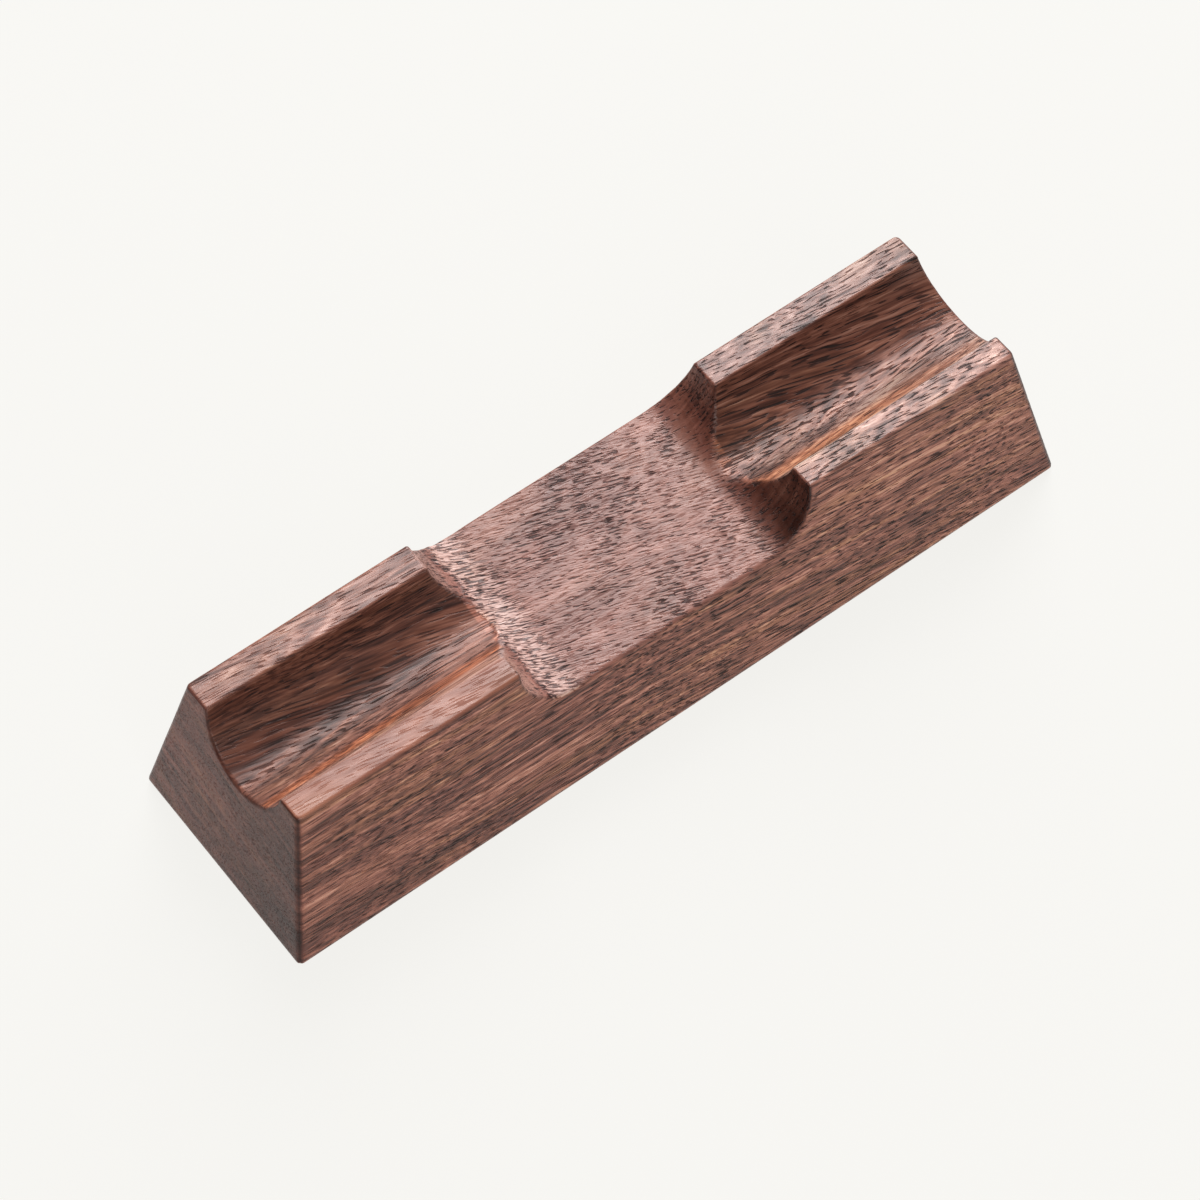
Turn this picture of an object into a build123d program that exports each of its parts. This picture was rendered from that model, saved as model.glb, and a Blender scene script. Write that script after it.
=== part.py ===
from build123d import *
import os
from math import cos, radians, sin

# Phone stand: one solid walnut block with sloping sides. A half-round groove runs along the
# whole top and a wide round-cornered recess crosses it. Four self-adhesive silicone pads sit
# in counterbores in the underside and carry the block just clear of the table.
#
# Frame: millimetres. +X runs along the stand, -Y is the side that faces the user, +Z is up.
# The origin is under the middle of the block, on the plane that the pads stand on.

# Block
LENGTH = 150.2           # along X, across the sharp base corners
DEPTH = 41.6             # along Y, across the sharp base corners
HEIGHT = 30.4            # of the wood alone
SIDE_LEAN = 11.5         # degrees, all four sides lean inwards
CORNER_ROUND = 0.9       # on the four leaning corner edges
BASE_ROUND = 0.3         # round the underside
UPPER_ROUND = 0.5        # on the top, groove and recess edges

# Groove that holds the lower edge of the phone
GROOVE_RADIUS = 9.75
GROOVE_DEPTH = 8.2
GROOVE_SHIFT = -0.5      # towards the user, so the back ridge is the wider one

# Recess across the middle, milled with a round-cornered cutter and sloping to the front
RECESS_WIDTH = 55.5
RECESS_CORNER = 8.8
RECESS_DEPTH = 8.65      # at the middle of the block
RECESS_SLOPE = 3.7       # degrees, down towards the user

# Foot pads and the adhesive that holds them
PAD_DIAMETER = 10.0
PAD_PROUD = 0.5          # how far a pad stands out of the underside
PAD_EDGE_ROUND = 0.3
COUNTERBORE_DIAMETER = 10.5
COUNTERBORE_DEPTH = 1.2
ADHESIVE_DIAMETER = 9.4
ADHESIVE_THICKNESS = 0.15
FOOT_INSET = 9.0         # pad centre from the block's base edges

BASE_Z = PAD_PROUD
TOP_Z = BASE_Z + HEIGHT
FOOT_X = LENGTH / 2 - FOOT_INSET
FOOT_Y = DEPTH / 2 - FOOT_INSET
FEET = {
    "front_left": (-FOOT_X, -FOOT_Y),
    "front_right": (FOOT_X, -FOOT_Y),
    "back_left": (-FOOT_X, FOOT_Y),
    "back_right": (FOOT_X, FOOT_Y),
}


def disc(diameter, thickness, x, y, bottom):
    """A flat round disc, with its lower face at the height called bottom."""
    centre = Location((x, y, bottom + thickness / 2))
    return centre * Cylinder(diameter / 2, thickness)


def tapered_blank():
    """The block before it is milled, with its corners and its underside eased."""
    outline = Plane.XY.offset(BASE_Z) * Rectangle(LENGTH, DEPTH)
    blank = extrude(outline, HEIGHT, taper=SIDE_LEAN)

    def is_corner(edge):
        return edge.bounding_box().size.Z > 0.9 * HEIGHT
    blank = fillet(blank.edges().filter_by(is_corner), CORNER_ROUND)
    underside = blank.faces().sort_by(Axis.Z)[0]
    return fillet(underside.edges(), BASE_ROUND)


def groove_cutter():
    """A round bar along X that leaves the half-round groove."""
    axis_z = TOP_Z - GROOVE_DEPTH + GROOVE_RADIUS
    place = Location((0, GROOVE_SHIFT, axis_z), (0, 90, 0))
    return place * Cylinder(GROOVE_RADIUS, 1.2 * LENGTH)


def recess_cutter():
    """A slot profile with two rounded lower corners, run through from front to back."""
    slope = radians(RECESS_SLOPE)
    run = Vector(0, cos(slope), sin(slope))
    across = Plane(origin=(0, 0, TOP_Z - RECESS_DEPTH), x_dir=(1, 0, 0), z_dir=-run)
    profile = Pos(0, HEIGHT) * Rectangle(RECESS_WIDTH, 2 * HEIGHT)
    lower_corners = profile.vertices().group_by(Axis.Y)[0]
    profile = fillet(lower_corners, RECESS_CORNER)
    return extrude(across * profile, 1.5 * DEPTH, both=True)


def ease_upper_edges(block):
    """Round every sharp edge that the groove and the recess leave on the upper half."""
    def is_sharp(edge):
        box = edge.bounding_box()
        upper = box.min.Z > BASE_Z + HEIGHT / 2
        crosses_the_floor = box.size.X < 0.01 and box.size.Y > DEPTH / 2
        return upper and not crosses_the_floor
    return fillet(block.edges().filter_by(is_sharp), UPPER_ROUND)


def walnut_block():
    """The whole wooden body, in one piece."""
    block = tapered_blank() - groove_cutter() - recess_cutter()
    block = ease_upper_edges(block)
    for x, y in FEET.values():
        block -= disc(COUNTERBORE_DIAMETER, COUNTERBORE_DEPTH, x, y, BASE_Z)
    return block


def foot_pad(x, y):
    """A silicone disc with an eased lower rim."""
    thickness = PAD_PROUD + COUNTERBORE_DEPTH - ADHESIVE_THICKNESS
    pad = disc(PAD_DIAMETER, thickness, x, y, 0)
    lower_rim = pad.edges().sort_by(Axis.Z)[0]
    return fillet(lower_rim, PAD_EDGE_ROUND)


def foot_adhesive(x, y):
    """The adhesive film between a pad and the floor of its counterbore."""
    bottom = BASE_Z + COUNTERBORE_DEPTH - ADHESIVE_THICKNESS
    return disc(ADHESIVE_DIAMETER, ADHESIVE_THICKNESS, x, y, bottom)


def all_parts():
    """Every piece of the stand, by node name."""
    parts = {"walnut_block": walnut_block()}
    for corner, (x, y) in FEET.items():
        parts[f"foot_pad_{corner}"] = foot_pad(x, y)
        parts[f"foot_adhesive_{corner}"] = foot_adhesive(x, y)
    return parts


os.makedirs("parts", exist_ok=True)
for node, shape in all_parts().items():
    export_step(shape, f"parts/{node}.step")
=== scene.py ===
from math import cos, exp, pi, radians, sin, sqrt, tan
from types import SimpleNamespace

import bpy
import numpy as np
from mathutils import Matrix, Vector, noise


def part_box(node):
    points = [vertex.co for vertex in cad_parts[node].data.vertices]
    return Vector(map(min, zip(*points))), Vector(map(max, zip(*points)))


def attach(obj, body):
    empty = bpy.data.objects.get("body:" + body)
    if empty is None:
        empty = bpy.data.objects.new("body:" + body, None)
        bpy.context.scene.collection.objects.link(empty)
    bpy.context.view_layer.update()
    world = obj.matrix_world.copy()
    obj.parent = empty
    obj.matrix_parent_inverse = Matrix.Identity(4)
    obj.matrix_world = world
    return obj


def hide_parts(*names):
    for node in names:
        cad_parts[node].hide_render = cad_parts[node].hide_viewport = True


# A milled walnut phone stand on four silicone pads. The wooden body is worked out as a distance
# field, so that every edge is a real rounded edge, and meshed along a graded grid. All shape
# functions work in millimetres and meshes are made in metres.

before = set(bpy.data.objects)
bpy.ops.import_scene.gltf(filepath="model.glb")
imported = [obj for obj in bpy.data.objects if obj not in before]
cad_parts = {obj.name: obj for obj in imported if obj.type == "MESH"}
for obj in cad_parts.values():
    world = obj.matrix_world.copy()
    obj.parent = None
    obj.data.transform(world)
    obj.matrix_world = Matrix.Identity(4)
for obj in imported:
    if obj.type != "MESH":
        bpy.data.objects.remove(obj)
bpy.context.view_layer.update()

MM = 0.001
low, high = (np.array(corner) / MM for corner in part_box("walnut_block"))
foot_low, foot_high = (np.array(corner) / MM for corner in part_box("foot_pad_back_right"))

# The block in mm, with the CAD model's own proportions but slightly finer top edges
SIDE_LEAN = radians(11.5)
BASE_Z, TOP_Z = low[2], high[2]
CORNER_ROUND = 0.9
BASE_ROUND = 0.3
UPPER_ROUND = 0.38
SHARP_CORNER = 0.067              # how far the base reached out before its edges were eased
HALF_LENGTH = high[0] + SHARP_CORNER
HALF_DEPTH = high[1] + SHARP_CORNER
GROOVE_RADIUS = 9.75
GROOVE_DEPTH = 8.2
GROOVE_SHIFT = -0.5
GROOVE_AXIS_Z = TOP_Z - GROOVE_DEPTH + GROOVE_RADIUS
HALF_MOUTH = sqrt(GROOVE_RADIUS ** 2 - (GROOVE_AXIS_Z - TOP_Z) ** 2)
RECESS_HALF_WIDTH = 27.75
RECESS_CORNER = 8.8
RECESS_DEPTH = 8.65
RECESS_SLOPE = radians(3.7)
COUNTERBORE_RADIUS = 5.25
COUNTERBORE_DEPTH = 1.2
FOOT_CENTRE = (foot_low + foot_high) / 2


# ---------------------------------------------------------------- camera, floor and light

LIGHT_DISTANCE = 1.2              # in metres, as is the floor's reach
FLOOR_REACH = 3.0


def aim(obj, target, roll=0.0):
    """Turns a camera or light at its place to look at a point, all in metres."""
    direction = Vector(target) - obj.location
    turn = direction.to_track_quat("-Z", "Y").to_matrix().to_4x4()
    obj.matrix_world = Matrix.Translation(obj.location) @ turn @ Matrix.Rotation(roll, 4, "Z")


def make_camera():
    """A long lens, well above the stand and round to its left end."""
    azimuth, elevation, roll = radians(-36.75), radians(58.49), radians(-0.5)
    distance = 0.6978
    target = Vector((-0.00462, -0.00369, 0.01551))
    back = Vector((sin(azimuth) * cos(elevation), -cos(azimuth) * cos(elevation), sin(elevation)))
    data = bpy.data.cameras.new("camera")
    data.sensor_width = 36.0
    data.lens = 134.2
    camera = bpy.data.objects.new("camera", data)
    bpy.context.scene.collection.objects.link(camera)
    camera.location = target + back * distance
    aim(camera, target, roll)
    bpy.context.scene.camera = camera


def softbox(name, azimuth, elevation, size, power):
    """A square area light; azimuth 0 is off the stand's right end and 90 is behind it."""
    data = bpy.data.lights.new(name, "AREA")
    data.shape = "SQUARE"
    data.size = size
    data.energy = power
    lamp = bpy.data.objects.new(name, data)
    bpy.context.scene.collection.objects.link(lamp)
    turn, rise = radians(azimuth), radians(elevation)
    direction = Vector((cos(turn) * cos(rise), sin(turn) * cos(rise), sin(rise)))
    lamp.location = direction * LIGHT_DISTANCE
    aim(lamp, (0.0, 0.0, 0.02))


def make_light():
    """A window-like light from behind and to the right, high and low, and a weak front fill."""
    world = bpy.data.worlds.new("studio")
    bpy.context.scene.world = world
    world.use_nodes = True
    background = world.node_tree.nodes["Background"]
    background.inputs["Color"].default_value = (1.0, 0.99, 0.97, 1.0)
    background.inputs["Strength"].default_value = 0.04
    softbox("window_high", azimuth=50.0, elevation=59.0, size=0.5, power=13.0)
    softbox("window_low", azimuth=45.0, elevation=28.0, size=0.8, power=17.0)
    softbox("front_fill", azimuth=250.0, elevation=35.0, size=0.8, power=8.5)
    bpy.context.scene.view_settings.view_transform = "Standard"


def floor_material():
    """A pale surface that glows a little, so that shadows on it stay faint."""
    material = bpy.data.materials.new("pale_table")
    material.use_nodes = True
    shader = material.node_tree.nodes["Principled BSDF"]
    shader.inputs["Base Color"].default_value = (0.05, 0.05, 0.05, 1.0)
    shader.inputs["Roughness"].default_value = 0.9
    shader.inputs["Specular IOR Level"].default_value = 0.0
    shader.inputs["Emission Color"].default_value = (1.0, 0.99, 0.955, 1.0)
    shader.inputs["Emission Strength"].default_value = 0.86
    return material


def make_floor():
    """The plain table top."""
    mesh = bpy.data.meshes.new("floor")
    signs = ((-1, -1), (1, -1), (1, 1), (-1, 1))
    corners = [(x * FLOOR_REACH, y * FLOOR_REACH, 0) for x, y in signs]
    mesh.from_pydata(corners, [], [(0, 1, 2, 3)])
    mesh.materials.append(floor_material())
    floor = bpy.data.objects.new("floor", mesh)
    bpy.context.scene.collection.objects.link(floor)


# ---------------------------------------------------------------- shape of the wooden body

def meet(a, b, radius):
    """The solid inside both a and b, with the edge between them rounded."""
    over_a = np.maximum(a + radius, 0.0)
    over_b = np.maximum(b + radius, 0.0)
    return np.minimum(-radius, np.maximum(a, b)) + np.hypot(over_a, over_b)


def wobble(p, wavelength):
    """A slow, smooth variation from about -1 to 1."""
    k = 2 * pi / wavelength
    x, y, z = p[:, 0], p[:, 1], p[:, 2]
    first = np.sin(k * x + 0.6 * np.sin(0.7 * k * y))
    second = np.sin(0.61 * k * x - 0.83 * k * y + 0.5 * k * z)
    return 0.6 * first + 0.4 * second


def recess_height(p):
    """How far a point is above the plane of the recess floor."""
    rise = p[:, 2] - (TOP_Z - RECESS_DEPTH)
    return rise * cos(RECESS_SLOPE) - p[:, 1] * sin(RECESS_SLOPE)


def recess_distance(p):
    """Distance to the recess cutter, positive outside it."""
    across = np.abs(p[:, 0]) - (RECESS_HALF_WIDTH - RECESS_CORNER)
    down = RECESS_CORNER - recess_height(p)
    outside = np.hypot(np.maximum(across, 0), np.maximum(down, 0))
    return outside + np.minimum(np.maximum(across, down), 0) - RECESS_CORNER


def groove_distance(p):
    """Distance to the groove cutter, positive outside it."""
    return np.hypot(p[:, 1] - GROOVE_SHIFT, p[:, 2] - GROOVE_AXIS_Z) - GROOVE_RADIUS


def counterbore_distance(p):
    """Distance to the nearest of the four foot counterbores, positive outside it."""
    radial = np.hypot(np.abs(p[:, 0]) - FOOT_CENTRE[0], np.abs(p[:, 1]) - FOOT_CENTRE[1])
    return np.maximum(radial - COUNTERBORE_RADIUS, p[:, 2] - BASE_Z - COUNTERBORE_DEPTH)


def wood_distance(p):
    """Signed distance to the body's surface, negative inside the wood."""
    x, y, z = p[:, 0], p[:, 1], p[:, 2]
    inset = (z - BASE_Z) * tan(SIDE_LEAN)
    front_back = (np.abs(y) - HALF_DEPTH + inset) * cos(SIDE_LEAN)
    ends = (np.abs(x) - HALF_LENGTH + inset) * cos(SIDE_LEAN)
    eased = UPPER_ROUND * (1.0 + 0.25 * wobble(p, 31.0))
    body = meet(front_back, ends, CORNER_ROUND)
    body = meet(body, BASE_Z - z, BASE_ROUND)
    body = meet(body, z - TOP_Z, eased)
    body = meet(body, -groove_distance(p), eased)
    body = meet(body, -recess_distance(p), eased)
    return np.maximum(body, -counterbore_distance(p))


# ---------------------------------------------------------------- meshing

def spans(*stops):
    """Grid lines through alternating positions and spacings: position, spacing, position..."""
    lines = [np.array([stops[0]])]
    for start, step, end in zip(stops[:-2:2], stops[1::2], stops[2::2]):
        count = max(1, round((end - start) / step))
        lines.append(np.linspace(start, end, count + 1)[1:])
    return np.concatenate(lines)


def crossings_along(axes, value, axis):
    """Which grid edges along one axis cross the surface, and where each would cross it."""
    first, second = [slice(None)] * 3, [slice(None)] * 3
    first[axis], second[axis] = slice(None, -1), slice(1, None)
    start, end = value[tuple(first)], value[tuple(second)]
    crosses = (start < 0) != (end < 0)
    share = np.where(crosses, start / np.where(crosses, start - end, 1.0), 0.0)
    line = list(axes)
    line[axis] = axes[axis][:-1]
    point = np.stack(np.meshgrid(*line, indexing="ij"), -1)
    step = np.diff(axes[axis]).reshape([-1 if k == axis else 1 for k in range(3)])
    point[..., axis] += share * step
    return crosses, point


def add_to_cells(crosses, point, axis, total, count):
    """Adds each crossing to the running sums of the four cells round its edge."""
    u, v = (axis + 1) % 3, (axis + 2) % 3
    sides = (slice(0, -1), slice(1, None))
    for u_side in sides:
        for v_side in sides:
            near = [slice(None)] * 3
            near[u], near[v] = u_side, v_side
            near = tuple(near)
            total += np.where(crosses[near][..., None], point[near], 0.0)
            count += crosses[near]


def quads_round_edges(crosses, inside, axis, cells):
    """One quad of cell numbers round each crossed edge, facing out of the solid."""
    u, v = (axis + 1) % 3, (axis + 2) % 3
    where = np.argwhere(crosses)
    where = where[np.all(where[:, [u, v]] > 0, axis=1)]
    around = []
    for du, dv in ((-1, -1), (0, -1), (0, 0), (-1, 0)):
        cell = where.copy()
        cell[:, u] += du
        cell[:, v] += dv
        around.append(np.ravel_multi_index(cell.T, cells))
    ring = np.stack(around, -1)
    leaving = inside[tuple(where.T)]
    return np.where(leaving[:, None], ring, ring[:, ::-1])


def surface_net(axes, distance):
    """Points and quads of the surface where distance is zero, one point for each grid cell."""
    shape = tuple(len(a) for a in axes)
    grid = np.stack(np.meshgrid(*axes, indexing="ij"), -1).reshape(-1, 3)
    value = distance(grid).reshape(shape)
    cells = tuple(n - 1 for n in shape)
    total, count = np.zeros(cells + (3,)), np.zeros(cells)
    quads = []
    for axis in range(3):
        crosses, point = crossings_along(axes, value, axis)
        add_to_cells(crosses, point, axis, total, count)
        quads.append(quads_round_edges(crosses, value < 0, axis, cells))
    used = count > 0
    number = np.full(cells, -1)
    number[used] = np.arange(used.sum())
    points = total[used] / count[used][:, None]
    return points, number.ravel()[np.concatenate(quads)]


def settle(points, distance, rounds=4):
    """Moves each point onto the surface along the field's gradient; also gives the normals."""
    reach, least_slope, most_move = 0.01, 0.2, 0.2
    for _ in range(rounds):
        here = distance(points)
        slope = np.zeros_like(points)
        for axis in range(3):
            shift = np.zeros(3)
            shift[axis] = reach
            slope[:, axis] = (distance(points + shift) - distance(points - shift)) / (2 * reach)
        size = np.maximum((slope ** 2).sum(1), least_slope)
        move = slope * (here / size)[:, None]
        points = points - np.clip(move, -most_move, most_move)
    return points, slope / np.linalg.norm(slope, axis=1)[:, None]


def new_mesh_object(name, points, faces, material):
    """A smooth-shaded object from points in millimetres."""
    mesh = bpy.data.meshes.new(name)
    mesh.from_pydata((np.asarray(points) * MM).tolist(), [], faces)
    mesh.polygons.foreach_set("use_smooth", [True] * len(mesh.polygons))
    mesh.materials.append(material)
    obj = bpy.data.objects.new(name, mesh)
    bpy.context.scene.collection.objects.link(obj)
    return obj


def set_attribute(obj, name, values):
    """Stores one number for each point, for the material to read."""
    attribute = obj.data.attributes.new(name, "FLOAT", "POINT")
    attribute.data.foreach_set("value", np.asarray(values, np.float32))


def smoothstep(start, end, value):
    """A smooth rise from 0 at start to 1 at end."""
    t = np.clip((value - start) / (end - start), 0.0, 1.0)
    return t * t * (3 - 2 * t)


# ---------------------------------------------------------------- the wooden body

ON_SURFACE = 0.35        # a point this near a cutter's surface, in mm, counts as cut by it
TEAR_X = -23.7           # where the left recess wall turns from clean to torn
TEAR_FADES = (-20.5, -15.0)
PLAN_SLANT = 0.3         # how much the torn fibre slants across the recess floor
INSIDE_BOX = 0.004       # the body stays this far inside the CAD block's box
LEAST_SHARE = 0.05       # less of the recess than this at a point leaves it untorn
GROOVE_OVERLAP = 3       # how far the groove's look may reach into the recess, in mm
PLAIN_BELT = 1.4         # no relief on the lowest part of the sides and on the base, in mm

# Relief: length, width and depth of a feature in mm, and where in the noise it is taken
UNEVEN = (26.0, 11.0, 9.0, 0.5)
RIDGES, TUFTS = (2.4, 1.1, 2.0, 5.7), (1.3, 1.4, 1.5, 12.2)
BEADS, WAVES = (2.4, 0.8, 2.0, 4.6), (6.0, 1.6, 2.0, 1.9)
# Its heights in mm, and how far past the tear's edge its bead and its rim lie
UNEVEN_HEIGHT, WAVE_HEIGHT = 0.03, 0.02
RIDGE_HEIGHT, TUFT_HEIGHT, TORN_SINK = 0.08, 0.04, 0.07
BEAD_HEIGHT, BEAD_SWING, BEAD_PAST_EDGE, BEAD_WIDTH = 0.16, 0.25, 0.45, 0.35
RIM_PAST_EDGE, RIM_WIDTH = 0.1, 0.32

# Grid spacings in mm, and how far each close set of lines reaches past its edge
EDGE_STEP, RECESS_EDGE_STEP = 0.22, 0.23
TEAR_STEP, NEAR_TEAR_STEP, FLOOR_STEP, RIGHT_COVE_STEP = 0.27, 0.36, 0.5, 0.42
SIDE_STEP, TOP_STEP, BASE_STEP, BELT_STEP, TOP_LAYER_STEP = 0.45, 0.85, 0.35, 1.3, 0.2
INNER_REACH, OUTER_REACH, RECESS_REACH = 0.6, 0.8, 1.1


def ripple(place, length, width, depth, seed):
    """Smooth noise from about -1 to 1 whose features have the given sizes in mm."""
    x, y, z = place
    return noise.noise(Vector((x / length + seed, y / width, z / depth)))


def bell(distance, width):
    """A smooth bump from 0 to 1 and back, one width to each side."""
    return exp(-(distance / width) ** 2)


def torn_edge(y):
    """The x at which the left recess wall turns from clean to torn, at a place front to back."""
    slow = ripple((0, y, 0), 9.0, 2.8, 9.0, seed=3.1)
    quick = ripple((0, y, 0), 9.0, 1.0, 9.0, seed=8.4)
    return TEAR_X + 0.6 * slow + 0.5 * quick


def relief(place, in_recess):
    """Height to add to the surface in mm, how torn it is, and how near the tear's edge."""
    x, y, z = place
    height = UNEVEN_HEIGHT * ripple(place, *UNEVEN)
    if in_recess < LEAST_SHARE:
        return height, 0.0, 0.0
    edge = torn_edge(y)
    torn = smoothstep(edge, edge + 0.4, x) * (1.0 - smoothstep(*TEAR_FADES, x))
    slanted = (x, y + PLAN_SLANT * x, z)
    ridges = RIDGE_HEIGHT * ripple(slanted, *RIDGES)
    tufts = TUFT_HEIGHT * ripple(slanted, *TUFTS)
    beads = BEAD_SWING * ripple(slanted, *BEADS)
    height += torn * (ridges + tufts - TORN_SINK)
    height += bell(x - edge - BEAD_PAST_EDGE, BEAD_WIDTH) * (BEAD_HEIGHT + beads)
    height += in_recess * WAVE_HEIGHT * ripple(slanted, *WAVES)
    return height, torn, bell(x - edge - RIM_PAST_EDGE, RIM_WIDTH)


def grid_lines():
    """Grid lines along x, y and z, closest at the top edges, the recess walls and the tear."""
    inset = TOP_Z * tan(SIDE_LEAN)
    top_x, top_y = HALF_LENGTH - inset, HALF_DEPTH - inset
    wall = RECESS_HALF_WIDTH
    front_mouth, back_mouth = GROOVE_SHIFT - HALF_MOUTH, GROOVE_SHIFT + HALF_MOUTH
    tear_start, tear_end = -24.6, -19.5
    middle = 15.0
    xs = spans(-HALF_LENGTH - INNER_REACH, SIDE_STEP,
               -top_x - OUTER_REACH, EDGE_STEP, -top_x + INNER_REACH, TOP_STEP,
               -wall - RECESS_REACH, RECESS_EDGE_STEP, -wall + INNER_REACH, NEAR_TEAR_STEP,
               tear_start, TEAR_STEP, tear_end, NEAR_TEAR_STEP,
               -middle, FLOOR_STEP, middle, RIGHT_COVE_STEP,
               wall - INNER_REACH, RECESS_EDGE_STEP, wall + RECESS_REACH, TOP_STEP,
               top_x - INNER_REACH, EDGE_STEP, top_x + OUTER_REACH, SIDE_STEP,
               HALF_LENGTH + INNER_REACH)
    ys = spans(-HALF_DEPTH - INNER_REACH, SIDE_STEP,
               -top_y - OUTER_REACH, EDGE_STEP, -top_y + INNER_REACH, SIDE_STEP,
               front_mouth - INNER_REACH, EDGE_STEP, front_mouth + INNER_REACH, SIDE_STEP,
               back_mouth - INNER_REACH, EDGE_STEP, back_mouth + INNER_REACH, SIDE_STEP,
               top_y - INNER_REACH, EDGE_STEP, top_y + OUTER_REACH, SIDE_STEP,
               HALF_DEPTH + INNER_REACH)
    zs = spans(BASE_Z - 0.4, BASE_STEP, BASE_Z + 1.35, BELT_STEP,
               TOP_Z - RECESS_DEPTH - 3.0, SIDE_STEP, TOP_Z - 1.0, TOP_LAYER_STEP, TOP_Z + 0.4)
    return xs, ys, zs


def body_masks(points, normals, in_recess, in_groove, torn, rim):
    """Shares from 0 to 1 that tell the material where on the body each point is."""
    x, y, z = points.T
    facing = np.abs(normals[:, 0])
    end_grain = smoothstep(0.05, 0.6, facing) * (1.0 - 0.3 * smoothstep(0.7, 0.95, facing))
    on_top = smoothstep(TOP_Z - 0.5, TOP_Z - 0.2, z)
    return {
        "recess": in_recess,
        "groove": in_groove,
        "torn": torn,
        "rim": rim * in_recess,
        "end_grain": end_grain * (1.0 - in_recess * (x < 0)),
        "calm": (y < GROOVE_SHIFT) & (z > TOP_Z - 0.6) & (x < 0),
        "strip": on_top * (1.0 - in_groove) * (1.0 - in_recess),
    }


def make_body(material):
    """The milled walnut body."""
    points, quads = surface_net(grid_lines(), wood_distance)
    points, normals = settle(points, wood_distance)
    in_recess = np.exp(-(recess_distance(points) / ON_SURFACE) ** 2)
    in_groove = np.exp(-(groove_distance(points) / ON_SURFACE) ** 2)
    in_groove *= np.abs(points[:, 0]) > RECESS_HALF_WIDTH - GROOVE_OVERLAP
    places = zip(points.tolist(), in_recess)
    height, torn, rim = np.array([relief(place, share) for place, share in places]).T
    height = np.where(points[:, 2] < BASE_Z + PLAIN_BELT, 0.0, height)
    points = points + normals * height[:, None]
    points = np.clip(points, low + INSIDE_BOX, high - INSIDE_BOX)
    body = new_mesh_object("walnut_body", points, quads.tolist(), material)
    masks = body_masks(points, normals, in_recess, in_groove, torn, rim)
    for name, values in masks.items():
        set_attribute(body, name, values)
    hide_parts("walnut_block")
    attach(body, "root")


# ---------------------------------------------------------------- material nodes

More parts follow.
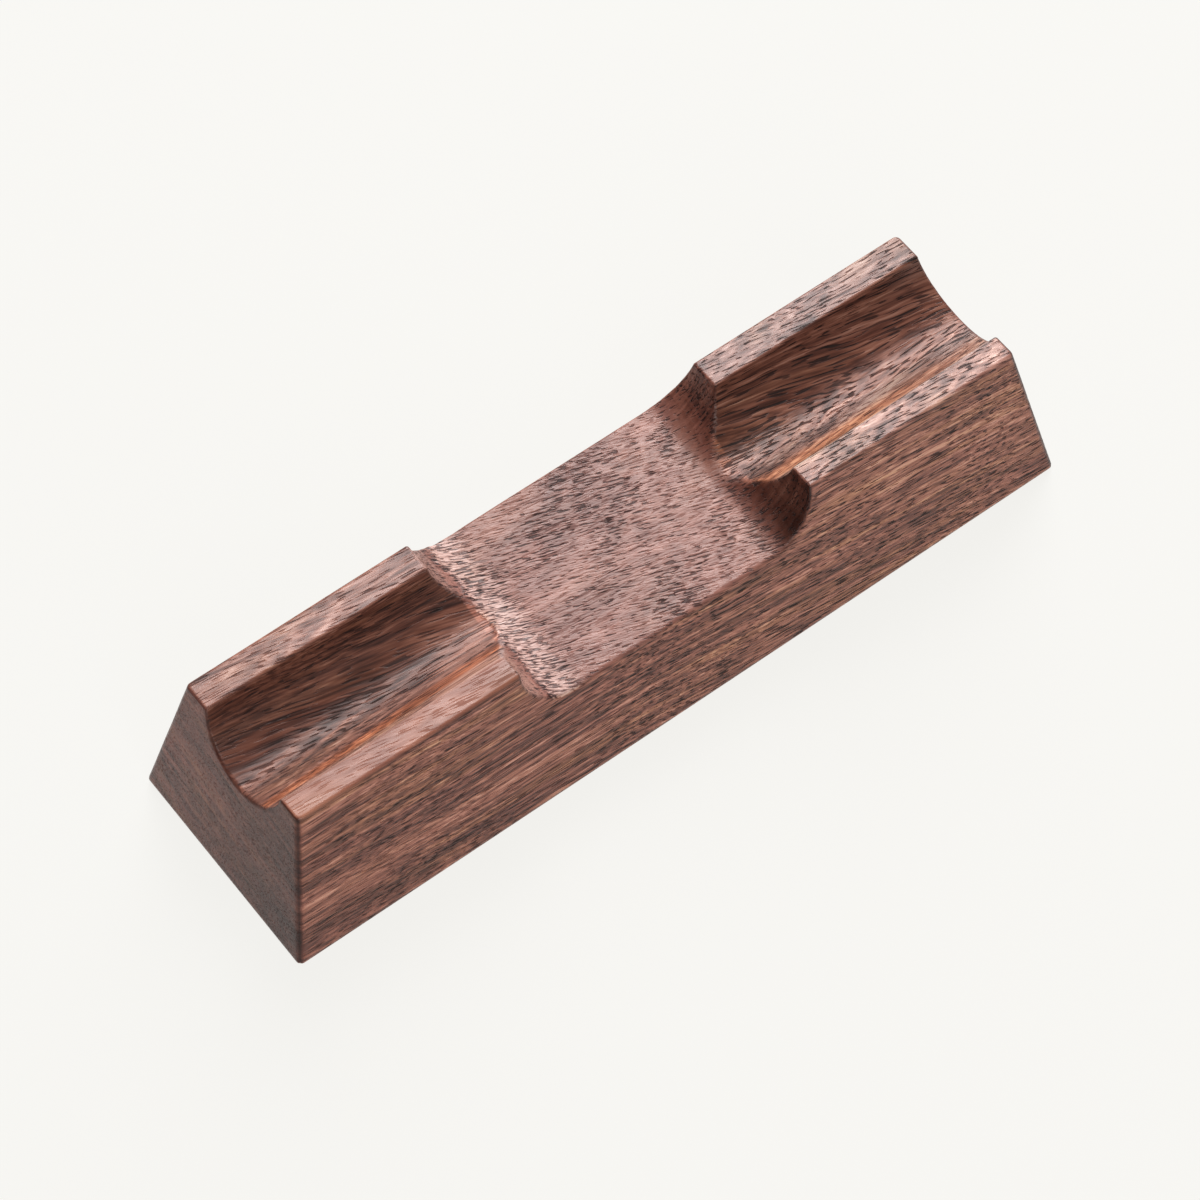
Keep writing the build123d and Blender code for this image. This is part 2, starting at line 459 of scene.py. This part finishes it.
class Graph:
    """Short calls that add and join a material's nodes."""

    def __init__(self, name):
        self.material = bpy.data.materials.new(name)
        self.material.use_nodes = True
        self.tree = self.material.node_tree
        self.shader = self.tree.nodes["Principled BSDF"]

    def add(self, kind, inputs=(), **settings):
        """A new node with its settings and inputs, each a value or another node's output."""
        node = self.tree.nodes.new(kind)
        for key, value in settings.items():
            setattr(node, key, value)
        for key, value in dict(inputs).items():
            self.feed(node.inputs[key], value)
        return node

    def feed(self, socket, value):
        """Links another node's output to a socket, or sets the socket's value."""
        if isinstance(value, bpy.types.NodeSocket):
            self.tree.links.new(value, socket)
        else:
            socket.default_value = value

    def math(self, operation, a, b=0.0, c=0.0):
        """The result of a math node."""
        node = self.add("ShaderNodeMath", operation=operation)
        for socket, value in zip(node.inputs, (a, b, c)):
            self.feed(socket, value)
        return node.outputs[0]

    def plus(self, value, amount, base):
        """The base plus the value times an amount."""
        return self.math("MULTIPLY_ADD", value, amount, base)

    def centred(self, value, amount):
        """A 0 to 1 value turned into a swing about zero."""
        return self.math("MULTIPLY", self.math("SUBTRACT", value, 0.5), amount)

    def combine(self, x, y, z):
        """A vector from three values."""
        return self.add("ShaderNodeCombineXYZ", {"X": x, "Y": y, "Z": z}).outputs[0]

    def grain(self, place, size, detail=2.0, roughness=0.5):
        """Noise whose features have the given length, width and depth in mm."""
        parts = [self.math("DIVIDE", at, extent) for at, extent in zip(place, size)]
        return self.noise(self.combine(*parts), detail, roughness)

    def noise(self, vector, detail=2.0, roughness=0.5):
        """Noise from 0 to 1, with features about as large as the vector's unit."""
        inputs = {"Vector": vector, "Scale": 1.0, "Detail": detail, "Roughness": roughness}
        return self.add("ShaderNodeTexNoise", inputs).outputs["Fac"]

    def ramp(self, value, low_in, high_in, low_out=0.0, high_out=1.0, smooth=True):
        """The value mapped from one range to another, and held at the range's ends."""
        node = self.add("ShaderNodeMapRange", clamp=True)
        node.interpolation_type = "SMOOTHSTEP" if smooth else "LINEAR"
        numbers = (value, low_in, high_in, low_out, high_out)
        for key, number in zip(("Value", "From Min", "From Max", "To Min", "To Max"), numbers):
            self.feed(node.inputs[key], number)
        return node.outputs["Result"]

    def fade(self, mask, place, start, end, low_share=0.0, high_share=1.0):
        """The mask times a share that goes from low at start to high at end, along place."""
        return self.math("MULTIPLY", mask, self.ramp(place, start, end, low_share, high_share))

    def mix(self, factor, a, b, blend="MIX"):
        """Two colours mixed or blended."""
        node = self.add("ShaderNodeMix", data_type="RGBA", blend_type=blend, clamp_factor=True)
        self.feed(node.inputs["Factor"], factor)
        for key, value in (("A", a), ("B", b)):
            socket = [s for s in node.inputs if s.name == key and s.type == "RGBA"][0]
            self.feed(socket, (*value, 1.0) if isinstance(value, tuple) else value)
        return [s for s in node.outputs if s.type == "RGBA"][0]

    def tinted(self, colour, amount, tint):
        """The colour multiplied by a tint, as strongly as amount says."""
        return self.mix(amount, colour, tint, "MULTIPLY")

    def colours(self, value, stops):
        """A colour ramp through (place, colour) stops."""
        node = self.add("ShaderNodeValToRGB", {"Fac": value})
        ramp = node.color_ramp
        while len(ramp.elements) > 1:
            ramp.elements.remove(ramp.elements[-1])
        ramp.elements[0].position = stops[0][0]
        ramp.elements[0].color = (*stops[0][1], 1.0)
        for place, colour in stops[1:]:
            element = ramp.elements.new(place)
            element.color = (*colour, 1.0)
        return node.outputs["Color"]

    def bump(self, height, distance):
        """Feeds the shader's normal from a height, whose unit is a distance in metres."""
        node = self.add("ShaderNodeBump", {"Height": height, "Distance": distance, "Strength": 1.0})
        self.feed(self.shader.inputs["Normal"], node.outputs["Normal"])

    def attribute(self, name):
        """The number stored under a name at each of the mesh's points."""
        return self.add("ShaderNodeAttribute", attribute_name=name).outputs["Fac"]

    def position(self):
        """Object coordinates in millimetres, as x, y and z."""
        place = self.add("ShaderNodeTexCoord").outputs["Object"]
        scaled = self.add("ShaderNodeVectorMath", operation="SCALE")
        self.feed(scaled.inputs[0], place)
        scaled.inputs["Scale"].default_value = 1 / MM
        parts = self.add("ShaderNodeSeparateXYZ", {"Vector": scaled.outputs[0]})
        return parts.outputs[0], parts.outputs[1], parts.outputs[2]


# ---------------------------------------------------------------- walnut

# How the wood lies in the block: fibre slants in plan, growth layers dip across and along it
FIBRE_SLANT = 0.16
CUT_SLANT = 0.34
LAYER_TILT = 0.135
LAYER_SLOPE = 0.05
LAYER_BEND = 0.06
SWAY_SIDE, SWAY_LAYER = 9.0, 3.0
QUIVER_SIDE, QUIVER_LAYER = 0.4, 0.35
LAYERS = 40.0
# Growth layers from the base up: height through the layers in mm, and lightness from 0 to 1
GROWTH = ((0.0, 0.50), (4.5, 0.48), (7.0, 0.53), (10.5, 0.62), (13.0, 0.58), (16.0, 0.50),
          (18.5, 0.53), (21.5, 0.54), (24.0, 0.58), (27.0, 0.64), (30.0, 0.68), (33.0, 0.63),
          (36.0, 0.58), (40.0, 0.55))
# Wood colours from darkest to lightest
TONES = ((0.0, (0.018, 0.007, 0.005)), (0.25, (0.066, 0.023, 0.016)),
         (0.45, (0.148, 0.053, 0.036)), (0.62, (0.26, 0.097, 0.063)),
         (0.80, (0.40, 0.163, 0.108)), (1.0, (0.60, 0.30, 0.21)))
# Noises in the wood: feature size in mm along the fibre, across it and through the layers,
# then detail and roughness
FIGURE = {
    "ring": ((80.0, 20.0, 1.2), 2.0, 0.6),
    "line": ((50.0, 6.0, 0.42), 2.0, 0.6),
    "cloud": ((14.0, 2.2, 1.6), 2.0, 0.6),
    "streak": ((12.0, 0.8, 0.5), 1.5, 0.6),
    "fibre": ((6.0, 0.30, 0.24), 1.0, 0.5),
    "vessel": ((5.0, 0.31, 0.27), 0.5, 0.5),
    "hue": ((45.0, 10.0, 1.8), 2.0, 0.5),
}
# Noises for the cutter's marks in the recess and for the dashes of painted shadow along the tear's
# rim:
# feature size in mm along the cut fibre, across it and in height, then detail and roughness
CUT_MARKS = {
    "chatter": ((1.7, 0.30, 0.8), 1.0, 0.5),
    "rip": ((1.6, 0.30, 0.9), 0.5, 0.5),
    "gaps": ((4.0, 0.34, 0.6), 0.5, 0.5),
}
SCORED_SIZE = (12.0, 0.8, 14.0)
MASKS = ("end_grain", "recess", "groove", "torn", "calm", "strip", "rim")
# How far each kind of mark moves the wood's tone, which runs from 0 to 1
# The torn tone is partly painted sheen, and the gap tone is painted shadow along the tear's rim
PIT_TONE, TEAR_TONE, TORN_SHEEN_TONE, RIM_SHADOW_TONE = -0.34, -0.46, 0.23, -0.45
# The edge tone is painted shade below the outer top edges, the mouth tone a painted highlight
EDGE_SHADE_TONE, MOUTH_GLINT_TONE = -0.20, 0.10
# Tints that multiply the wood's colour
BLACK = (0.0, 0.0, 0.0)
TAN, ROSE = (1.01, 1.05, 0.90), (1.0, 0.98, 1.02)
# A paler, cooler tint for the painted highlight along the groove's mouth
MOUTH_GLINT_TINT = (1.0, 1.16, 1.28)
# The groove's bottom and front wall tints are painted sheen
GROOVE_BOTTOM_SHEEN, GROOVE_FRONT_SHEEN = (0.85, 0.90, 0.95), (0.86, 0.94, 0.98)
GROOVE_RIGHT = (0.74, 0.80, 0.84)
# Painted bounce light as an amber band on the groove's front wall, and painted sheen as a pale band
# beside it
AMBER_BOUNCE, PALE_WALL_SHEEN = (1.74, 1.33, 0.94), (1.45, 1.62, 1.66)
# The right top and right lip tints are painted sheen
TOP_TINT, RIGHT_TOP_SHEEN, RIGHT_LIP_SHEEN = (0.72, 0.78, 0.86), (0.97, 1.13, 1.24), (1.08, 1.12, 1.16)
# Recess tints: the floor and lifted fibre are partly painted sheen, the left wall is painted light
RECESS_FLOOR_SHEEN, TORN_SHEEN_TINT, LIT_LEFT_WALL = (0.97, 1.15, 1.38), (1.12, 1.40, 1.52), (1.08, 1.26, 1.30)
# The end's back tint is a painted reflection
END_TINT, END_BACK_REFLECTION = (1.0, 0.84, 0.87), (0.95, 1.06, 1.12)


def grain_space(g, place):
    """Coordinates along the fibre, across it within a growth layer, and through the layers."""
    x, y, z = place
    sway = g.math("SUBTRACT", g.grain(place, (50.0, 20.0, 20.0), detail=1.0), 0.5)
    quiver = g.math("SUBTRACT", g.grain(place, (9.0, 4.5, 4.5), detail=1.0), 0.5)
    side = g.plus(x, FIBRE_SLANT, y)
    side = g.plus(sway, SWAY_SIDE, side)
    side = g.plus(quiver, QUIVER_SIDE, side)
    bend = g.math("MULTIPLY", g.math("MAXIMUM", g.math("ADD", x, 5.0), 0.0), LAYER_BEND)
    layer = g.plus(y, -LAYER_TILT, z)
    layer = g.plus(x, LAYER_SLOPE, layer)
    layer = g.math("ADD", layer, bend)
    layer = g.plus(sway, SWAY_LAYER, layer)
    layer = g.plus(quiver, QUIVER_LAYER, layer)
    return x, side, layer


def wood_figure(g, place):
    """The wood's own figure: growth, its noises, and open pores in some layers more than others."""
    fibre_place = grain_space(g, place)
    noises = {name: g.grain(fibre_place, *how) for name, how in FIGURE.items()}
    wood = SimpleNamespace(**noises)
    growth_stops = tuple((height / LAYERS, (tone, tone, tone)) for height, tone in GROWTH)
    wood.growth = g.colours(g.math("DIVIDE", fibre_place[2], LAYERS), growth_stops)
    crowding = g.ramp(wood.ring, 0.42, 0.58, 0.03, -0.02)
    wood.pore = g.ramp(g.math("SUBTRACT", wood.vessel, crowding), 0.34, 0.41, 1.0, 0.0)
    return wood


def cutter_marks(g, place, wood, mask):
    """Pits in bands along the growth layers, tears in lifted fibre, and dark dashes of painted
    shadow along its rim.
    """
    x, y, z = place
    cut_place = (x, g.plus(x, CUT_SLANT, y), z)
    marks = SimpleNamespace(**{name: g.grain(cut_place, *how) for name, how in CUT_MARKS.items()})
    banding = g.ramp(wood.ring, 0.44, 0.55, 0.05, -0.03)
    banded = g.math("SUBTRACT", marks.chatter, banding)
    marks.pit = g.fade(mask.recess, banded, 0.31, 0.42, 1.0, 0.0)
    marks.tear = g.fade(mask.torn, marks.rip, 0.38, 0.48, 1.0, 0.0)
    # painted shadow: dark dashes along the tear's rim
    marks.gap = g.fade(mask.rim, marks.gaps, 0.40, 0.56, 1.0, 0.0)
    marks.scored = g.centred(g.grain(place, SCORED_SIZE), 0.9)
    return marks


def fine_strength(g, x, mask):
    """How strongly the fine figure shows: least on end grain, in the recess and on the calm lip."""
    strength = g.plus(mask.end_grain, -1.1, 1.0)
    strength = g.plus(mask.recess, -0.75, strength)
    strength = g.plus(mask.calm, -0.78, strength)
    return g.fade(g.math("MAXIMUM", strength, 0.1), x, -72.0, -40.0, 0.8, 1.05)


def figure_tone(g, x, wood, mask, strength):
    """Lightness of the wood from its growth layers, clouds, streaks, lines, fibre and pores."""
    broad = g.math("ADD", g.centred(wood.ring, 0.65), g.centred(wood.cloud, 0.50))
    level = g.plus(mask.recess, -0.5, 1.0)
    level = g.plus(mask.strip, -0.45, level)
    tone = g.plus(broad, level, wood.growth)
    tone = g.math("ADD", tone, g.ramp(x, 0.0, 60.0, 0.0, 0.05))
    pore_depth = g.ramp(x, -50.0, 40.0, -0.24, -0.40)
    fine = g.plus(wood.pore, pore_depth, g.centred(wood.fibre, 0.6))
    fine = g.math("ADD", fine, g.centred(wood.streak, 0.9))
    fine = g.math("ADD", fine, g.centred(wood.line, 0.9))
    return g.plus(fine, strength, tone)


def marked_tone(g, place, tone, marks, mask):
    """The tone with the cutter's marks, painted shadow along the tear's rim, dark lines on the
    recess wall, and painted shade just below the outer top edges.
    """
    x, y, z = place
    tone = g.plus(marks.pit, PIT_TONE, tone)
    tone = g.plus(marks.tear, TEAR_TONE, tone)
    # the lifted fibre lighter, partly its own paleness and partly painted sheen
    tone = g.plus(mask.torn, TORN_SHEEN_TONE, tone)
    # painted shadow along the tear's rim, beside the raised bead
    tone = g.plus(marks.gap, RIM_SHADOW_TONE, tone)
    tone = g.plus(g.fade(mask.recess, x, 21.0, 25.0), marks.scored, tone)
    # painted shade: a dark band just below the outer top edges of the front and back
    below_top = g.ramp(z, TOP_Z - 1.2, TOP_Z - 0.5)
    under_edge = g.fade(below_top, g.math("ABSOLUTE", y), 13.2, 14.4)
    under_edge = g.math("MULTIPLY", under_edge, g.math("SUBTRACT", 1.0, mask.strip))
    return g.plus(under_edge, EDGE_SHADE_TONE, tone)


def mouth_glint_line(g, place):
    """A painted highlight: a fine pale line along the front edge of the groove's mouth."""
    x, y, z = place
    off_axis = g.math("ABSOLUTE", g.math("SUBTRACT", y, GROOVE_SHIFT))
    gap = g.math("ABSOLUTE", g.math("SUBTRACT", off_axis, HALF_MOUTH))
    line = g.fade(g.ramp(gap, 0.45, 0.15), z, TOP_Z - 0.9, TOP_Z - 0.4)
    return g.fade(line, y, 0.0, -2.0)


def layer_tints(g, colour, hue, mask):
    """Tan and rose growth layers, weaker in the recess, in the groove and on the tops."""
    varied = g.plus(mask.recess, -0.8, 1.0)
    varied = g.plus(g.math("MAXIMUM", mask.groove, mask.strip), -0.6, varied)
    colour = g.tinted(colour, g.fade(varied, hue, 0.50, 0.66), TAN)
    return g.tinted(colour, g.fade(varied, hue, 0.50, 0.36), ROSE)


def groove_painted_light(g, colour, place, groove):
    """Painted light in the groove: painted shade on the back wall, a greyer bottom and front wall
    and a pale band for painted sheen, an amber band of painted bounce light, and the front wall
    darker and greyer towards the right.
    """
    x, y, z = place
    # painted shade: the back wall, turned away from the light, is darkened towards black
    colour = g.tinted(colour, g.fade(groove, y, -2.0, 4.5, 0.0, 0.52), BLACK)
    # painted sheen: the bottom and front wall made greyer
    colour = g.tinted(colour, g.fade(groove, y, 4.0, 1.5), GROOVE_BOTTOM_SHEEN)
    front_wall = g.fade(groove, y, -1.5, -3.5)
    colour = g.tinted(colour, front_wall, GROOVE_FRONT_SHEEN)
    # painted bounce light: an amber band along the front wall
    left_line = g.ramp(x, -70.0, -28.0, -6.8, -4.9, smooth=False)
    middle = g.math("ADD", left_line, g.ramp(x, 20.0, 28.0, 0.0, -1.6))
    past = g.math("SUBTRACT", y, middle)
    half_width = g.ramp(x, 0.0, 30.0, 1.25, 2.4)
    amber = g.fade(groove, g.math("ABSOLUTE", past), half_width, 0.35)
    colour = g.tinted(colour, g.fade(amber, x, 42.0, 68.0, 1.0, 0.35), AMBER_BOUNCE)
    # painted sheen: a pale band on the front wall beside the amber one, strongest towards the
    # recess
    pale_wall = g.fade(groove, past, -0.5, -1.4)
    colour = g.tinted(colour, g.fade(pale_wall, x, -66.0, -32.0, 0.4, 1.0), PALE_WALL_SHEEN)
    return g.tinted(colour, g.fade(front_wall, x, 0.0, 30.0), GROOVE_RIGHT)


def top_tints(g, colour, place, strip):
    """The tops are slightly greyer, and paler towards the right end with painted sheen."""
    x, y, z = place
    colour = g.tinted(colour, g.fade(strip, y, -4.0, 4.0, 0.3, 1.0), TOP_TINT)
    # painted sheen: the tops paler and greyer towards the right end
    colour = g.tinted(colour, g.fade(strip, x, 0.0, 40.0), RIGHT_TOP_SHEEN)
    right_lip_sheen = g.fade(g.fade(strip, x, 20.0, 30.0), y, 0.0, -5.0)
    return g.tinted(colour, right_lip_sheen, RIGHT_LIP_SHEEN)


def recess_tints(g, colour, x, mask):
    """The recess floor is greyer, partly with painted sheen; the lifted fibre and left wall are
    paler with painted sheen and light; the right wall is darker, partly with painted shade.
    """
    # partly painted sheen: the floor made greyer
    colour = g.tinted(colour, g.fade(mask.recess, x, 19.0, 25.0, 1.0, 0.0), RECESS_FLOOR_SHEEN)
    # the lifted fibre paler and whiter, partly painted sheen and glints
    colour = g.tinted(colour, mask.torn, TORN_SHEEN_TINT)
    # painted light: the left wall, facing the window, made paler
    colour = g.tinted(colour, g.fade(mask.recess, x, -24.0, -25.5), LIT_LEFT_WALL)
    # the right wall darker, partly darker wood and partly painted shade where it turns from the
    # light
    return g.tinted(colour, g.fade(mask.recess, x, 18.0, 23.0, 0.0, 0.26), BLACK)


def end_tints(g, colour, y, end_grain):
    """End grain soaks up more oil and is darker; towards the front it is darkened further as
    painted shade, and towards the back it is greyer as painted reflection.
    """
    colour = g.tinted(colour, end_grain, END_TINT)
    # painted reflection: greyer towards the back
    colour = g.tinted(colour, g.fade(end_grain, y, 0.0, 16.0), END_BACK_REFLECTION)
    # the end grain's own darkness, with painted shade making it darker towards the front
    return g.tinted(colour, g.fade(end_grain, y, -20.0, 16.0, 0.84, 0.26), BLACK)


def walnut_roughness(g, wood, marks, groove):
    """Oiled wood is shiniest on dense streaks and dull in pores and pits."""
    rough = g.plus(wood.pore, 0.30, 0.31)
    rough = g.plus(marks.pit, 0.25, rough)
    rough = g.math("ADD", rough, g.centred(wood.streak, -0.35))
    return g.plus(groove, 0.05, rough)


def walnut_height(g, wood, marks, mask, strength):
    """Fine relief in mm: pores, streaks and fibre, and the cutter's pits and tears."""
    height = g.math("MULTIPLY", wood.pore, -0.07)
    height = g.plus(wood.streak, 0.06, height)
    height = g.plus(wood.fibre, 0.05, height)
    height = g.math("MULTIPLY", height, strength)
    height = g.plus(marks.pit, -0.12, height)
    height = g.plus(g.math("MULTIPLY", marks.chatter, mask.recess), 0.09, height)
    return g.plus(marks.tear, -0.20, height)


def walnut_material():
    """Oiled black walnut: growth layers, tone streaks, fibre and open pores."""
    g = Graph("walnut")
    place = x, y, z = g.position()
    mask = SimpleNamespace(**{name: g.attribute(name) for name in MASKS})
    wood = wood_figure(g, place)
    marks = cutter_marks(g, place, wood, mask)
    strength = fine_strength(g, x, mask)
    # painted highlight along the front edge of the groove's mouth
    mouth_glint = mouth_glint_line(g, place)
    tone = figure_tone(g, x, wood, mask, strength)
    tone = marked_tone(g, place, tone, marks, mask)
    colour = g.colours(g.plus(mouth_glint, MOUTH_GLINT_TONE, tone), TONES)
    colour = g.tinted(colour, mouth_glint, MOUTH_GLINT_TINT)
    colour = layer_tints(g, colour, wood.hue, mask)
    colour = groove_painted_light(g, colour, place, mask.groove)
    colour = top_tints(g, colour, place, mask.strip)
    colour = recess_tints(g, colour, x, mask)
    colour = end_tints(g, colour, y, mask.end_grain)
    g.feed(g.shader.inputs["Base Color"], colour)
    g.feed(g.shader.inputs["Roughness"], walnut_roughness(g, wood, marks, mask.groove))
    g.shader.inputs["Specular IOR Level"].default_value = 0.25
    g.bump(walnut_height(g, wood, marks, mask, strength), MM)
    return g.material


# ---------------------------------------------------------------- feet

# Feature sizes in mm of the silicone's grain and clouding, and of the film's blotches
SILICONE_GRAIN = 1 / 9.0
SILICONE_CLOUD = 1 / 0.6
FILM_BLOTCH = 1 / 1.2
SILICONE_DARK, SILICONE_LIGHT = (0.030, 0.030, 0.031), (0.052, 0.052, 0.054)
FILM_DARK, FILM_LIGHT = (0.42, 0.36, 0.25), (0.55, 0.50, 0.40)
# A pad's profile, in mm
PAD_RIM = 0.32
PAD_DISH = 0.06
PAD_TOP_EDGE = 0.12
PAD_RIM_STEPS = 6
PAD_TURNS = 72
CORNERS = ("front_left", "front_right", "back_left", "back_right")


def silicone_material():
    """Dark moulded silicone with a fine matt grain."""
    g = Graph("silicone")
    place = g.position()
    grain = g.grain(place, (SILICONE_GRAIN, SILICONE_GRAIN, SILICONE_GRAIN), detail=3.0)
    cloud = g.grain(place, (SILICONE_CLOUD, SILICONE_CLOUD, 1.0))
    g.feed(g.shader.inputs["Base Color"], g.mix(cloud, SILICONE_DARK, SILICONE_LIGHT))
    g.feed(g.shader.inputs["Roughness"], g.ramp(grain, 0.3, 0.7, 0.5, 0.68))
    g.bump(grain, 0.03 * MM)
    return g.material


def adhesive_material():
    """Translucent yellowish acrylic film."""
    g = Graph("adhesive")
    blotch = g.grain(g.position(), (FILM_BLOTCH, FILM_BLOTCH, 1.0), detail=3.0)
    g.feed(g.shader.inputs["Base Color"], g.mix(blotch, FILM_DARK, FILM_LIGHT))
    g.feed(g.shader.inputs["Roughness"], g.ramp(blotch, 0.3, 0.7, 0.35, 0.55))
    return g.material


def pad_outline(radius, bottom, top):
    """Radius and height along half a pad's profile, from the middle of the sole to the top's."""
    dished = bottom + PAD_DISH
    outline = [(0.0, dished), (radius * 0.55, dished), (radius * 0.72, bottom + PAD_DISH * 0.4),
               (radius * 0.80, bottom)]
    for step in range(PAD_RIM_STEPS + 1):
        turn = step / PAD_RIM_STEPS * pi / 2
        out = radius - PAD_RIM + PAD_RIM * sin(turn)
        outline.append((out, bottom + PAD_RIM - PAD_RIM * cos(turn)))
    return outline + [(radius, top - PAD_TOP_EDGE), (radius - PAD_TOP_EDGE, top), (0.0, top)]


def turned(outline, centre):
    """Points and faces of an outline turned about an upright axis and closed at both ends."""
    points, faces = [], []
    for r, z in outline[1:-1]:
        for t in range(PAD_TURNS):
            angle = 2 * pi * t / PAD_TURNS
            points.append((centre[0] + r * cos(angle), centre[1] + r * sin(angle), z))
    rows = len(outline) - 2
    sole, top = len(points), len(points) + 1
    points += [(centre[0], centre[1], outline[0][1]), (centre[0], centre[1], outline[-1][1])]
    steps = [(t, (t + 1) % PAD_TURNS) for t in range(PAD_TURNS)]
    for row in range(rows - 1):
        start = row * PAD_TURNS
        for t, after in steps:
            a, b = start + t, start + after
            faces.append((a, b, b + PAD_TURNS, a + PAD_TURNS))
    last = (rows - 1) * PAD_TURNS
    for t, after in steps:
        faces.append((sole, after, t))
        faces.append((top, last + t, last + after))
    return points, faces


def make_pad(corner, material):
    """A silicone pad: a turned disc with a soft lower rim and a shallow dished sole."""
    node = f"foot_pad_{corner}"
    pad_low, pad_high = (np.array(c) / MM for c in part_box(node))
    outline = pad_outline((pad_high[0] - pad_low[0]) / 2, pad_low[2], pad_high[2])
    points, faces = turned(outline, (pad_low + pad_high) / 2)
    pad = new_mesh_object(f"silicone_pad_{corner}", points, faces, material)
    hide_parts(node)
    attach(pad, "root")


def dress_film(corner, material):
    """Gives the CAD model's own adhesive film its material."""
    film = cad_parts[f"foot_adhesive_{corner}"]
    for material_slot in film.material_slots:
        material_slot.material = material


# ---------------------------------------------------------------- the whole stand

make_camera()
make_light()
make_floor()
make_body(walnut_material())
silicone = silicone_material()
adhesive = adhesive_material()
for corner in CORNERS:
    make_pad(corner, silicone)
    dress_film(corner, adhesive)
